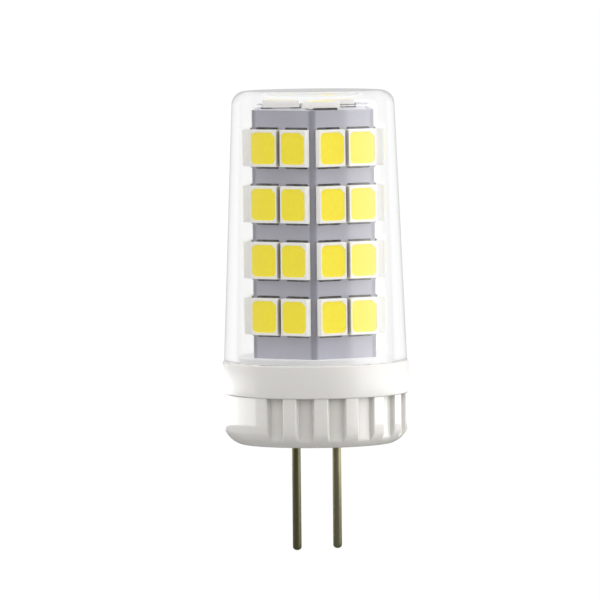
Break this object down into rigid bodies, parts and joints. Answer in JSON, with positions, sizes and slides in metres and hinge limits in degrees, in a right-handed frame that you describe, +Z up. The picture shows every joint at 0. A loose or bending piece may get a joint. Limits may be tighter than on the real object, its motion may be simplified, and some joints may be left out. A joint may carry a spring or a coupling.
{
  "type": "led capsule bulb",
  "caption": "Plug-in capsule lamp with two wire pins, a ribbed white ceramic base and a clear tapered cover over a folded board of yellow emitters.",
  "frame": {"origin": "centre of the base's bottom face, midway between the two pins", "axes": "+Z up through the cover, pins point down -Z and stand apart along X"},
  "size_m": [0.0168, 0.0168, 0.0418],
  "materials": {
    "clear_cover": "clear polished plastic",
    "ceramic": "white glaze",
    "pin_metal": "drawn wire, lightly tarnished",
    "board_white": "white solder mask",
    "emitter_cup": "white moulded cup",
    "phosphor": "yellow filled silicone",
    "tin": "tinned metal",
    "adhesive": "white silicone",
    "driver_laminate": "green solder mask",
    "can_sleeve": "dark shrink sleeve",
    "bung_rubber": "black rubber",
    "film_box": "yellow case",
    "black_epoxy": "black moulding compound",
    "resistor_coat": "lacquered coat",
    "wire_sleeve": "white insulation"
  },
  "bodies": {
    "root": {"adhesive_bead": "adhesive", "bridge_rectifier": "black_epoxy", "capacitor_bung": "bung_rubber", "capacitor_leads": "tin", "ceramic_base": "ceramic", "chip_resistors": "black_epoxy", "clear_cover": "clear_cover", "contact_pin_1": "pin_metal", "contact_pin_2": "pin_metal", "driver_board": "driver_laminate", "emitter_housings_facet_1": "emitter_cup", "emitter_housings_facet_2": "emitter_cup", "emitter_housings_facet_3": "emitter_cup", "emitter_housings_facet_4": "emitter_cup", "emitter_housings_facet_5": "emitter_cup", "emitter_housings_facet_6": "emitter_cup", "emitter_housings_top": "emitter_cup", "emitter_pads_facet_1": "tin", "emitter_pads_facet_2": "tin", "emitter_pads_facet_3": "tin", "emitter_pads_facet_4": "tin", "emitter_pads_facet_5": "tin", "emitter_pads_facet_6": "tin", "emitter_pads_top": "tin", "emitter_phosphors_facet_1": "phosphor", "emitter_phosphors_facet_2": "phosphor", "emitter_phosphors_facet_3": "phosphor", "emitter_phosphors_facet_4": "phosphor", "emitter_phosphors_facet_5": "phosphor", "emitter_phosphors_facet_6": "phosphor", "emitter_phosphors_top": "phosphor", "film_capacitor": "film_box", "film_capacitor_leads": "tin", "folded_board": "board_white", "fusible_resistor": "resistor_coat", "output_wires": "wire_sleeve", "pin_solder": "tin", "rectifier_legs": "tin", "seam_solder": "tin", "smoothing_capacitor": "can_sleeve", "top_board": "board_white"}
  },
  "joints": []
}
